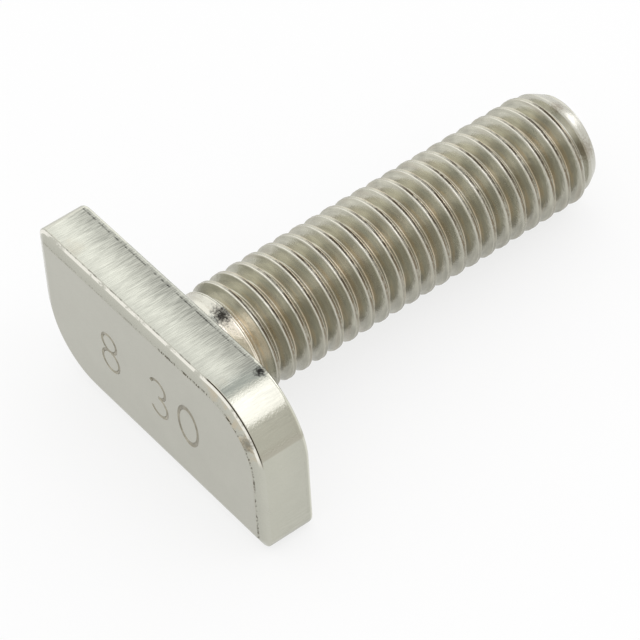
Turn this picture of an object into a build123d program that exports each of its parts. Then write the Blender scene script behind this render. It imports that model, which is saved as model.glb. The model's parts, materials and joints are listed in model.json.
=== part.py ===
from build123d import *
import os
from math import asin, atan2, degrees, hypot

# T slot bolt, cold formed from one blank: a hammer head for a T slot on a
# metric shank. It is one solid. Millimetres.
#
# Row frame: the origin is where the thread axis meets the head's bearing face.
# +Z is up, the head's long side lies along X, and the shank points to +Y and
# dips a little, because the bolt lies on the lower long side of its head and
# on the last full turn of its thread.

# Head
HEAD_LENGTH = 22.6
HEAD_WIDTH = 11.2
HEAD_THICKNESS = 3.7
TURNING_RADIUS = 5.0  # two opposite corners, which let the head turn in the slot
STOP_RADIUS = 1.0  # the other two corners, which stop it after a quarter turn
BEVEL_INSET = 0.9  # bevel round the outer face, measured across that face
BEVEL_DROP = 0.4  # and down the side
BEARING_EDGE_RADIUS = 0.3

# Shank
SHANK_LENGTH = 30.0
NECK_DIAMETER = 7.2  # the rolling blank, left smooth under the head
NECK_FILLET_RADIUS = 0.5
NECK_LENGTH = 1.2
NECK_FLARE_LENGTH = 0.8  # over which the first turn of the thread rises
POINT_LENGTH = 1.6  # rolled taper at the free end
POINT_DIAMETER = 6.4
POINT_BULGE = 0.06  # by which the taper is rounder than a cone

# M8 thread, right hand, pitch 1.25: this is the envelope over its crests
THREAD_DIAMETER = 7.95

thread_radius = THREAD_DIAMETER / 2
neck_radius = NECK_DIAMETER / 2
point_radius = POINT_DIAMETER / 2


def plate_outline(inset, height):
    """Face of the head's outline, drawn smaller by inset, at a height above the bearing face."""
    half_length = HEAD_LENGTH / 2 - inset
    half_width = HEAD_WIDTH / 2 - inset
    turning = TURNING_RADIUS - inset
    stop = STOP_RADIUS - inset
    corners = [
        (half_length, half_width, stop, 0),
        (-half_length, half_width, turning, 90),
        (-half_length, -half_width, stop, 180),
        (half_length, -half_width, turning, 270),
    ]
    arcs = []
    for x, y, radius, start in corners:
        centre = (x - radius if x > 0 else x + radius, y - radius if y > 0 else y + radius)
        arcs.append(CenterArc(centre, radius, start, 90))
    sides = [Line(arcs[i] @ 1, arcs[(i + 1) % 4] @ 0) for i in range(4)]
    outline = make_face([edge for pair in zip(arcs, sides) for edge in pair])
    return Pos(0, 0, height) * outline


def head():
    """The plate, bearing face at height 0 and outer face at -HEAD_THICKNESS, shank side up."""
    bevel_height = BEVEL_DROP - HEAD_THICKNESS
    body = extrude(plate_outline(0, bevel_height), amount=-bevel_height)
    bearing_edges = body.faces().sort_by(Axis.Z)[-1].edges()
    body = fillet(bearing_edges, BEARING_EDGE_RADIUS)
    bevel = loft(
        [plate_outline(BEVEL_INSET, -HEAD_THICKNESS), plate_outline(0, bevel_height)],
        ruled=True,
    )
    return body + bevel


def rolled_point(full_to):
    """Arc of the taper's profile, from full diameter to the free end, bulging outwards."""
    wide = Vector(thread_radius, full_to)
    narrow = Vector(point_radius, SHANK_LENGTH)
    along = narrow - wide
    outwards = Vector(along.Y, -along.X).normalized()
    middle = (wide + narrow) * 0.5 + outwards * POINT_BULGE
    return ThreePointArc(wide, middle, narrow)


def shank():
    """Revolved shank: fillet, smooth neck, flare, full thread diameter and rolled point."""
    full_from = NECK_LENGTH + NECK_FLARE_LENGTH
    full_to = SHANK_LENGTH - POINT_LENGTH
    buried = HEAD_THICKNESS / 2
    fillet_end = (neck_radius + NECK_FILLET_RADIUS, 0)
    arc_centre = (neck_radius + NECK_FILLET_RADIUS, NECK_FILLET_RADIUS)
    profile = [
        Line((0, -buried), (fillet_end[0], -buried)),
        Line((fillet_end[0], -buried), fillet_end),
        CenterArc(arc_centre, NECK_FILLET_RADIUS, 180, 90),
        Polyline(
            (neck_radius, NECK_FILLET_RADIUS),
            (neck_radius, NECK_LENGTH),
            (thread_radius, full_from),
            (thread_radius, full_to),
        ),
        rolled_point(full_to),
        Line((point_radius, SHANK_LENGTH), (0, SHANK_LENGTH)),
        Line((0, SHANK_LENGTH), (0, -buried)),
    ]
    return revolve(Plane.XZ * make_face(profile), Axis.Z)


def resting_tilt():
    """Angle by which the shank dips when head and thread both touch a flat surface."""
    edge = BEARING_EDGE_RADIUS
    along = SHANK_LENGTH - POINT_LENGTH + edge
    above = HEAD_WIDTH / 2 - edge - thread_radius
    return degrees(atan2(above, along) + asin(edge / hypot(above, along)))


os.makedirs("parts", exist_ok=True)
t_slot_bolt = Rot(-resting_tilt(), 0, 0) * Rot(-90, 0, 0) * (head() + shank())
export_step(t_slot_bolt, "parts/t_slot_bolt.step")
bounds = t_slot_bolt.bounding_box()
print(f"tilt {resting_tilt():.3f} degrees, lowest point {bounds.min.Z:.3f} mm")
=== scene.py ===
"""Looks of the T slot bolt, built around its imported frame.

The bolt is shown as two pieces, the upset head and the rolled shank, which both
stand for the one node of the frame. Sizes are in millimetres and become metres
when a piece is placed. A piece is modelled upright, with the head's bearing face
at height 0 and the shank along +Z, and is then laid down as the frame has it.
"""
import json
import logging
import math
from dataclasses import dataclass, field
from enum import Enum

import bmesh
import bpy
from mathutils import Matrix, Vector, noise


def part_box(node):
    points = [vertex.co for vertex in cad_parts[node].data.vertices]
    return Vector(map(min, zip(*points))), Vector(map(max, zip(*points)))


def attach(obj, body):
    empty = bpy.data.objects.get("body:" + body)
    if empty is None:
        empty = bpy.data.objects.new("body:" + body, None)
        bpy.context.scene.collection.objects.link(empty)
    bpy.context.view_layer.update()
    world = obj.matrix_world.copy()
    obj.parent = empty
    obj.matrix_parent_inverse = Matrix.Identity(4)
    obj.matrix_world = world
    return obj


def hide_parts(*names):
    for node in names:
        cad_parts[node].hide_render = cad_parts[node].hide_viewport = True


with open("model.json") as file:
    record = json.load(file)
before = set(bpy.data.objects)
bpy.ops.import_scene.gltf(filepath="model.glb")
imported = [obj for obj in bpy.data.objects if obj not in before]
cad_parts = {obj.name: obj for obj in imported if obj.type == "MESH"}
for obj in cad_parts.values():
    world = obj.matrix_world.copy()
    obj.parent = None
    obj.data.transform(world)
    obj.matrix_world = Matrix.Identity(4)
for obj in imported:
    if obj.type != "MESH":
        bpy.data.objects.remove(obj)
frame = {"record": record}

LOG = logging.getLogger("t_slot_bolt")
MM = 0.001
NODE = "t_slot_bolt"
FLOAT_SOCKET = "NodeSocketFloat"

Color = tuple[float, float, float, float]
Triple = tuple[float, float, float]
Ramp = tuple[float, float, float, float]  # where it begins and ends, and its result at both
Band = tuple[float, float, float]  # its middle, half its width, and how softly it fades


class Finish(Enum):
    """The surfaces of the bolt that the tools left differently; the value is the slot's place."""

    OUTER_FACE = 0
    LONG_SIDE = 1
    BEVEL = 2
    ROUNDED_END = 3
    BEARING_FACE = 4
    NUMBER = 5


def lying_pose() -> Matrix:
    """Works out how an upright piece lies in the row frame, in metres.

    Returns:
        The matrix that takes millimetres, shank up, to the frame.
    """
    mounts = {m["name"]: m for m in frame["record"]["mounts"]}
    axis = Vector(mounts["threaded_shank"]["axis"])
    dip = math.atan2(-axis.z, axis.y)
    lay_down = Matrix.Rotation(-math.pi / 2, 4, "X")
    return Matrix.Scale(MM, 4) @ Matrix.Rotation(-dip, 4, "X") @ lay_down


def smooth_step(low: float, high: float, value: float) -> float:
    """Rises from 0 at low to 1 at high with level ends.

    Args:
        low: Value at which the step starts.
        high: Value at which it is complete.
        value: Where it is read.

    Returns:
        The height of the step, 0 to 1.
    """
    part = min(max((value - low) / (high - low), 0.0), 1.0)
    return part * part * (3 - 2 * part)


def finished_object(name: str, shape: bmesh.types.BMesh) -> bpy.types.Object:
    """Makes the piece's object from its mesh and frees the mesh being edited.

    Args:
        name: Name of the piece.
        shape: Its mesh, already placed in the frame.

    Returns:
        The new object at the origin, in the scene.
    """
    mesh = bpy.data.meshes.new(name)
    shape.to_mesh(mesh)
    shape.free()
    piece = bpy.data.objects.new(name, mesh)
    bpy.context.scene.collection.objects.link(piece)
    return piece


def declare(piece: bpy.types.Object) -> None:
    """Tells the frame that a piece rides on the bolt and stands for its node.

    Args:
        piece: The finished piece.
    """
    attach(piece, "root")
    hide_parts(NODE)


@dataclass
class NodeTree:
    """Short hand for adding and joining shader nodes in one tree."""

    tree: bpy.types.NodeTree

    def add(self, kind: str, **settings: object) -> bpy.types.Node:
        """Adds a node.

        Args:
            kind: Type name of the node.
            **settings: Its own properties, by name.

        Returns:
            The new node.
        """
        node = self.tree.nodes.new(kind)
        for key, value in settings.items():
            setattr(node, key, value)
        return node

    def feed(self, socket: bpy.types.NodeSocket, value: object) -> None:
        """Joins an output to a socket, or sets the socket's own value.

        Args:
            socket: The input that is fed.
            value: An output socket, a number or a colour.
        """
        if isinstance(value, bpy.types.NodeSocket):
            self.tree.links.new(value, socket)
        else:
            socket.default_value = value

    def math(self, operation: str, *values: object, clamp: bool = False) -> bpy.types.NodeSocket:
        """Adds a Math node.

        Args:
            operation: What it does.
            *values: Its inputs, sockets or numbers.
            clamp: Whether its result is kept between 0 and 1.

        Returns:
            Its output.
        """
        node = self.add("ShaderNodeMath", operation=operation, use_clamp=clamp)
        for socket, value in zip(node.inputs, values):
            self.feed(socket, value)
        return node.outputs[0]

    def product(self, first: object, *others: object) -> bpy.types.NodeSocket:
        """Multiplies a value by others, one after another.

        Args:
            first: The first value.
            *others: What it is multiplied by, sockets or numbers.

        Returns:
            The product.
        """
        for value in others:
            first = self.math("MULTIPLY", first, value)
        return first

    def ramp(
        self, value: object, low: float, high: float, start: float = 0.0, end: float = 1.0
    ) -> bpy.types.NodeSocket:
        """Adds a smooth Map Range node.

        Args:
            value: The value that is mapped.
            low: Where the range begins.
            high: Where it ends.
            start: Result at low.
            end: Result at high.

        Returns:
            Its output.
        """
        node = self.add("ShaderNodeMapRange", interpolation_type="SMOOTHSTEP")
        for socket, number in zip(node.inputs, (value, low, high, start, end)):
            self.feed(socket, number)
        return node.outputs[0]

    def band(self, value: object, middle: float, half: float, soft: float) -> bpy.types.NodeSocket:
        """Marks where a value is near a middle.

        Args:
            value: The value that is read.
            middle: Middle of the band.
            half: Half its full width.
            soft: Width over which it fades on each side.

        Returns:
            The mask, 1 inside the band.
        """
        away = self.math("ABSOLUTE", self.math("SUBTRACT", value, middle))
        return self.ramp(away, half, half + soft, 1.0, 0.0)

    def around(self, value: object, amount: object) -> bpy.types.NodeSocket:
        """Turns a noise about 0.5 into a factor about 1."""
        return self.math("MULTIPLY_ADD", self.math("SUBTRACT", value, 0.5), amount, 1.0)

    def toward(self, direction: object, side: object) -> bpy.types.NodeSocket:
        """Gives the cosine of the angle between two directions of unit length.

        Args:
            direction: The direction that is read, a socket.
            side: The fixed direction.

        Returns:
            The cosine, 1 where both point the same way.
        """
        both = self.add("ShaderNodeVectorMath", operation="DOT_PRODUCT")
        self.feed(both.inputs[0], direction)
        self.feed(both.inputs[1], side)
        return both.outputs["Value"]

    def noise(
        self, vector: object, scale: float, detail: float = 3.0, roughness: float = 0.55
    ) -> bpy.types.NodeSocket:
        """Adds a Noise Texture node.

        Args:
            vector: Where it is read.
            scale: How fine it is.
            detail: Number of octaves.
            roughness: How much the finer octaves count.

        Returns:
            Its value output.
        """
        node = self.add("ShaderNodeTexNoise")
        self.feed(node.inputs["Vector"], vector)
        self.feed(node.inputs["Scale"], scale)
        self.feed(node.inputs["Detail"], detail)
        self.feed(node.inputs["Roughness"], roughness)
        return node.outputs["Fac"]

    def mix(
        self, share: object, first: object, second: object, blend: str = "MIX"
    ) -> bpy.types.NodeSocket:
        """Adds a Mix node for colours.

        Args:
            share: How much of the second colour shows.
            first: The first colour.
            second: The second colour.
            blend: How the two are put together.

        Returns:
            The mixed colour.
        """
        node = self.add("ShaderNodeMix", data_type="RGBA", blend_type=blend)
        self.feed(node.inputs[0], share)
        self.feed(node.inputs[6], first)
        self.feed(node.inputs[7], second)
        return node.outputs[2]

    def paint(self, color: object, *layers: tuple[object, object]) -> bpy.types.NodeSocket:
        """Lays colours over a first one, in order.

        Args:
            color: The first colour.
            *layers: Masks, each with the colour that shows where it is 1.

        Returns:
            The colour after the last layer.
        """
        for mask, over in layers:
            color = self.mix(mask, color, over)
        return color


def rgb(red: float, green: float, blue: float) -> Color:
    """Gives a colour with full alpha."""
    return (red, green, blue, 1.0)


WHITE = rgb(1.0, 1.0, 1.0)


def new_group(
    name: str, inputs: dict[str, float], outputs: dict[str, str]
) -> tuple[bpy.types.NodeTree, NodeTree, bpy.types.Node, bpy.types.Node]:
    """Starts a shader node group with named sockets.

    Args:
        name: Name of the group.
        inputs: Each number that it takes, with its default.
        outputs: Each socket that it puts out, with its type.

    Returns:
        The group, the helper for it, its input node and its output node.
    """
    tree = bpy.data.node_groups.new(name, "ShaderNodeTree")
    tree.interface.new_socket("Vector", in_out="INPUT", socket_type="NodeSocketVector")
    for label, default in inputs.items():
        socket = tree.interface.new_socket(label, in_out="INPUT", socket_type=FLOAT_SOCKET)
        socket.default_value = default
    for label, kind in outputs.items():
        tree.interface.new_socket(label, in_out="OUTPUT", socket_type=kind)
    nodes = NodeTree(tree)
    return tree, nodes, nodes.add("NodeGroupInput"), nodes.add("NodeGroupOutput")


def upright_place_group(pitch: float, crest_height: float) -> bpy.types.NodeTree:
    """Builds the group that turns Object coordinates back to the upright bolt in millimetres.

    Args:
        pitch: Pitch of the thread.
        crest_height: Height of one crest's middle at angle 0.

    Returns:
        The node group. It puts out the place, its parts and how far along the axis the nearest
        crest's middle is, positive towards the free end.
    """
    numbers = {name: FLOAT_SOCKET for name in ("X", "Y", "Z", "Off Crest")}
    tree, nodes, given, put = new_group(
        "upright_place", {}, {"Place": "NodeSocketVector", **numbers}
    )
    back = lying_pose().inverted()
    turn = nodes.add("ShaderNodeMapping", vector_type="POINT")
    turn.inputs["Rotation"].default_value = back.to_euler()
    turn.inputs["Scale"].default_value = (1 / MM, 1 / MM, 1 / MM)
    nodes.feed(turn.inputs["Vector"], given.outputs["Vector"])
    nodes.feed(put.inputs["Place"], turn.outputs[0])
    parts = nodes.add("ShaderNodeSeparateXYZ")
    nodes.feed(parts.inputs[0], turn.outputs[0])
    for name in ("X", "Y", "Z"):
        nodes.feed(put.inputs[name], parts.outputs[name])
    angle = nodes.math("ARCTAN2", parts.outputs["Y"], parts.outputs["X"])
    risen = nodes.math("DIVIDE", nodes.math("SUBTRACT", parts.outputs["Z"], crest_height), pitch)
    turns = nodes.math("SUBTRACT", risen, nodes.math("DIVIDE", angle, 2 * math.pi))
    part = nodes.math("FRACT", nodes.math("ADD", turns, 0.5))
    off_crest = nodes.product(nodes.math("SUBTRACT", part, 0.5), pitch)
    nodes.feed(put.inputs["Off Crest"], off_crest)
    return tree


def mottle_group() -> bpy.types.NodeTree:
    """Builds the group for the soft clouds and fine grain of cold formed steel.

    Returns:
        The node group, which puts out a shade about 1, a roughness offset and a relief.
    """
    tree, nodes, given, put = new_group(
        "mottle",
        {"Cloud Size": 2.0, "Cloud Depth": 0.06, "Grain Size": 0.12, "Grain Depth": 0.05},
        {"Shade": FLOAT_SOCKET, "Rough": FLOAT_SOCKET, "Relief": FLOAT_SOCKET},
    )
    place = given.outputs["Vector"]
    cloud_scale = nodes.math("DIVIDE", 1.0, given.outputs["Cloud Size"])
    grain_scale = nodes.math("DIVIDE", 1.0, given.outputs["Grain Size"])
    cloud = nodes.noise(place, cloud_scale, detail=4.0, roughness=0.6)
    grain = nodes.noise(place, grain_scale, detail=2.0)
    cloud_part = nodes.product(nodes.math("SUBTRACT", cloud, 0.5), given.outputs["Cloud Depth"])
    grain_part = nodes.product(nodes.math("SUBTRACT", grain, 0.5), given.outputs["Grain Depth"])
    change = nodes.math("ADD", cloud_part, grain_part)
    nodes.feed(put.inputs["Shade"], nodes.math("ADD", nodes.product(change, 2.0), 1.0))
    nodes.feed(put.inputs["Rough"], nodes.product(change, -1.0))
    nodes.feed(put.inputs["Relief"], grain)
    return tree


def smudge_group() -> bpy.types.NodeTree:
    """Builds the group for one dark scuff with a ragged rim.

    Returns:
        The node group, which puts out a mask of the scuff.
    """
    fineness = 6.0
    raggedness = 2.6
    dark_to, clear_from = 0.1, 0.95
    tree, nodes, given, put = new_group(
        "smudge", {"Away": 1.0, "Size": 0.5}, {"Mask": FLOAT_SOCKET}
    )
    rag = nodes.noise(given.outputs["Vector"], fineness, detail=6.0, roughness=0.75)
    reach = nodes.math("DIVIDE", given.outputs["Away"], given.outputs["Size"])
    level = nodes.math("MULTIPLY_ADD", nodes.math("SUBTRACT", rag, 0.5), raggedness, reach)
    nodes.feed(put.inputs["Mask"], nodes.ramp(level, dark_to, clear_from, 1.0, 0.0))
    return tree


@dataclass(frozen=True)
class Scuff:
    """One scuff: its middle on the upright bolt and about how far it reaches."""

    at: Triple
    reach: float


@dataclass(frozen=True)
class SteelFinish:
    """One finish of the bare stainless steel."""

    name: str
    color: Color
    roughness: float
    groups: dict[str, bpy.types.NodeTree] = field(repr=False, compare=False)
    cloud_size: float = 2.5
    cloud_depth: float = 0.06
    grain_depth: float = 0.04
    relief: float = 0.004
    scuff_color: Color = rgb(0.04, 0.037, 0.032)

    def start(self) -> tuple[bpy.types.Material, NodeTree, bpy.types.Node]:
        """Makes the material with its metal shader.

        Returns:
            The material, the helper for its nodes and the shader node.
        """
        material = bpy.data.materials.new(self.name)
        material.use_nodes = True
        nodes = NodeTree(material.node_tree)
        shader = material.node_tree.nodes["Principled BSDF"]
        shader.inputs["Metallic"].default_value = 1.0
        return material, nodes, shader

    def place(self, nodes: NodeTree) -> bpy.types.Node:
        """Adds the group that reads where on the upright bolt a point is.

        Args:
            nodes: Helper of the material.

        Returns:
            The group's node.
        """
        here = nodes.add("ShaderNodeTexCoord")
        group = nodes.add("ShaderNodeGroup", node_tree=self.groups["place"])
        nodes.feed(group.inputs["Vector"], here.outputs["Object"])
        return group

    def mottle(self, nodes: NodeTree, place: object) -> bpy.types.Node:
        """Adds the clouds and grain.

        Args:
            nodes: Helper of the material.
            place: Where the surface is, in millimetres on the upright bolt.

        Returns:
            The group's node.
        """
        group = nodes.add("ShaderNodeGroup", node_tree=self.groups["mottle"])
        nodes.feed(group.inputs["Vector"], place)
        group.inputs["Cloud Size"].default_value = self.cloud_size
        group.inputs["Cloud Depth"].default_value = self.cloud_depth
        group.inputs["Grain Depth"].default_value = self.grain_depth
        return group

    def scuffed(self, nodes: NodeTree, place: object, scuff: Scuff) -> bpy.types.NodeSocket:
        """Adds one scuff.

        Args:
            nodes: Helper of the material.
            place: Where the surface is, in millimetres on the upright bolt.
            scuff: The scuff.

        Returns:
            Its mask.
        """
        away = nodes.add("ShaderNodeVectorMath", operation="DISTANCE")
        nodes.feed(away.inputs[0], place)
        nodes.feed(away.inputs[1], scuff.at)
        group = nodes.add("ShaderNodeGroup", node_tree=self.groups["smudge"])
        nodes.feed(group.inputs["Vector"], place)
        nodes.feed(group.inputs["Away"], away.outputs["Value"])
        group.inputs["Size"].default_value = scuff.reach
        return group.outputs["Mask"]

    def surface(
        self, nodes: NodeTree, shader: bpy.types.Node, color: object, rough: object, height: object
    ) -> None:
        """Feeds colour, roughness and relief to the metal shader.

        Args:
            nodes: Helper of the material.
            shader: The metal shader.
            color: The base colour.
            rough: Offset from the finish's roughness.
            height: Relief that the light catches, in millimetres.
        """
        nodes.feed(shader.inputs["Base Color"], color)
        nodes.feed(shader.inputs["Roughness"], nodes.math("ADD", rough, self.roughness, clamp=True))
        bump = nodes.add("ShaderNodeBump")
        bump.inputs["Strength"].default_value = 1.0
        bump.inputs["Distance"].default_value = MM
        nodes.feed(bump.inputs["Height"], height)
        nodes.feed(shader.inputs["Normal"], bump.outputs["Normal"])

    def shaded(self, nodes: NodeTree, shade: object) -> bpy.types.NodeSocket:
        """Multiplies the finish's colour by a shade.

        Args:
            nodes: Helper of the material.
            shade: The shade, about 1.

        Returns:
            The shaded colour.
        """
        joined = nodes.add("ShaderNodeCombineColor")
        for name in ("Red", "Green", "Blue"):
            nodes.feed(joined.inputs[name], shade)
        return nodes.mix(1.0, self.color, joined.outputs[0], blend="MULTIPLY")

    def build(self) -> bpy.types.Material:
        """Builds the plain finish: clouds and grain over the whole surface.

        Returns:
            The material.
        """
        material, nodes, shader = self.start()
        place = self.place(nodes)
        mottle = self.mottle(nodes, place.outputs["Place"])
        color = self.shaded(nodes, mottle.outputs["Shade"])
        height = nodes.product(mottle.outputs["Relief"], self.relief)
        self.surface(nodes, shader, color, mottle.outputs["Rough"], height)
        return material


@dataclass(frozen=True)
class StreakedFinish(SteelFinish):
    """Sides of the head: fine streaks across them, where the die sheared past."""

    streak_width: float = 0.06
    streak_length: float = 1.0
    streak_depth: float = 1.1
    streak_rough: float = 0.25
    streaks_by_height: Ramp = (-3.0, -1.6, 1.0, 1.5)
    streaks_beside: Ramp = (2.5, 5.3, 0.12, 1.0)
    broad_scale: float = 0.2
    broad_share: float = 0.16
    edge_shadow: float = 0.4
    shadow_from: float = -2.4
    shadow_full: float = -0.5
    # Painted highlight on the bearing edge's rounding, then a painted dark line just beside it.
    rounding: Ramp = (-0.32, -0.2, 0.0, 0.3)
    edge_shade_line: Band = (-0.45, 0.02, 0.05)
    edge_shade_noise: Ramp = (0.4, 0.6, 0.0, 1.0)
    # Painted shade: darker near the bevel's rim, lighter at the left end and darker at the right, darker
    # at the corners.
    rim_from: float = -3.3
    rim_to: float = -2.5
    rim_shade: float = 0.9
    left_end: float = -10.0
    left_shade: float = 1.06
    right_end: float = 6.0
    right_shade: float = 0.93
    corner_from: float = 4.7
    corner_full: float = 5.1
    corner_shade: float = 1.0
    stain: Color = rgb(0.4, 0.33, 0.22)
    stain_share: float = 0.3
    stain_scale: float = 0.33
    stain_noise: Ramp = (0.6, 0.75, 0.0, 1.0)
    grain_relief: float = 0.0
    # Painted shade along a soft crease on the head's end, broken up by the broad streaks.
    crease_at: float | None = None
    crease_above: float = 0.7
    crease_below: float = 0.15
    crease_soft: float = 0.1
    crease_side: Ramp = (6.0, 8.0, 0.0, 1.0)
    crease_noise: Ramp = (0.3, 0.65, 0.25, 0.6)
    crease_shade_color: Color = rgb(0.37, 0.345, 0.275)
    scuff: Scuff | None = None

    def streaks(self, nodes: NodeTree, here: object) -> tuple[bpy.types.NodeSocket, bpy.types.NodeSocket]:
        """Reads the noise of the streaks, drawn out along the height of the side.

        Args:
            nodes: Helper of the material.
            here: Where the surface is, in millimetres on the upright bolt.

        Returns:
            The fine streaks with the broad ones, and the broad ones alone.
        """
        stretch = nodes.add("ShaderNodeMapping", vector_type="POINT")
        across = 1 / self.streak_width
        stretch.inputs["Scale"].default_value = (across, across, 1 / self.streak_length)
        nodes.feed(stretch.inputs["Vector"], here)
        fine = nodes.noise(stretch.outputs[0], 1.0, detail=4.0, roughness=0.65)
        broad = nodes.noise(stretch.outputs[0], self.broad_scale, detail=2.0)
        broad_part = nodes.product(broad, self.broad_share)
        return nodes.math("MULTIPLY_ADD", fine, 1 - self.broad_share, broad_part), broad

    def light(
        self, nodes: NodeTree, place: bpy.types.Node, lines: object, broad: object, beside: object
    ) -> bpy.types.NodeSocket:
        """Works out how light the side is: its streaks, and painted shade and highlight near the bearing
        edge.

        Args:
            nodes: Helper of the material.
            place: The group that reads the place.
            lines: The streaks.
            broad: The broad streaks alone.
            beside: How deep the streaks are, less in the middle of the head's ends.

        Returns:
            The shade, about 1.
        """
        height = place.outputs["Z"]
        low, high, start, end = self.streaks_by_height
        depth = nodes.ramp(height, low, high, self.streak_depth * start, self.streak_depth * end)
        shadow = nodes.ramp(height, self.shadow_from, self.shadow_full, 0.0, self.edge_shadow)
        # Painted dark line beside the bearing edge, broken up by the broad streaks.
        edge_shade = nodes.product(nodes.band(height, *self.edge_shade_line), nodes.ramp(broad, *self.edge_shade_noise))
        shade = nodes.math("SUBTRACT", nodes.around(lines, nodes.product(depth, beside)), shadow)
        # Painted highlight on the bearing edge's rounding.
        shade = nodes.math("ADD", shade, nodes.ramp(height, *self.rounding))
        return nodes.math("SUBTRACT", shade, nodes.product(edge_shade, self.edge_shadow))

    def painted_shade_by_region(self, nodes: NodeTree, place: bpy.types.Node) -> list[bpy.types.NodeSocket]:
        """Gives the painted shade: darker near the bevel's rim, on the head's right and at its corners,
        lighter on its left.

        Args:
            nodes: Helper of the material.
            place: The group that reads the place.

        Returns:
            One factor for each.
        """
        sides = (self.left_end, self.right_end, self.left_shade, self.right_shade)
        return [
            nodes.ramp(place.outputs["Z"], self.rim_from, self.rim_to, self.rim_shade, 1.0),
            nodes.ramp(place.outputs["X"], *sides),
            nodes.ramp(place.outputs["Y"], self.corner_from, self.corner_full, 1.0, self.corner_shade),
        ]

    def crease_shade(self, nodes: NodeTree, place: bpy.types.Node, broad: object) -> bpy.types.NodeSocket:
        """Marks the painted shade of a soft crease on the end, where its round meets its flat.

        Args:
            nodes: Helper of the material.
            place: The group that reads the place.
            broad: The broad streaks, which break the crease up.

        Returns:
            The mask of the painted crease shade.
        """
        across = place.outputs["Y"]
        crease = self.crease_at
        return nodes.product(
            nodes.ramp(across, crease - self.crease_above, crease - self.crease_soft),
            nodes.ramp(across, crease, crease + self.crease_below, 1.0, 0.0),
            nodes.ramp(place.outputs["X"], *self.crease_side),
            nodes.ramp(broad, *self.crease_noise),
        )

    def build(self) -> bpy.types.Material:
        """Builds the streaks, the painted shadow, dark line and highlight near the bearing edge, and the
        marks.

        Returns:
            The material.
        """
        material, nodes, shader = self.start()
        place = self.place(nodes)
        here = place.outputs["Place"]
        mottle = self.mottle(nodes, here)
        lines, broad = self.streaks(nodes, here)
        beside = nodes.ramp(nodes.math("ABSOLUTE", place.outputs["Y"]), *self.streaks_beside)
        shade = self.light(nodes, place, lines, broad, beside)
        shade = nodes.product(shade, mottle.outputs["Shade"], *self.painted_shade_by_region(nodes, place))
        spot = nodes.ramp(nodes.noise(here, self.stain_scale, detail=3.0), *self.stain_noise)
        color = nodes.mix(
            nodes.product(spot, self.stain_share), self.shaded(nodes, shade), self.stain
        )
        # Painted shade of the crease.
        if self.crease_at is not None:
            color = nodes.mix(self.crease_shade(nodes, place, broad), color, self.crease_shade_color)
        if self.scuff:
            color = nodes.mix(self.scuffed(nodes, here, self.scuff), color, self.scuff_color)
        rough = nodes.math(
            "MULTIPLY_ADD",
            nodes.math("SUBTRACT", lines, 0.5),
            self.streak_rough,
            mottle.outputs["Rough"],
        )
        grain = nodes.product(mottle.outputs["Relief"], self.grain_relief)
        grooved = nodes.product(lines, self.relief, beside)
        self.surface(nodes, shader, color, rough, nodes.math("ADD", grooved, grain))
        return material


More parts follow.
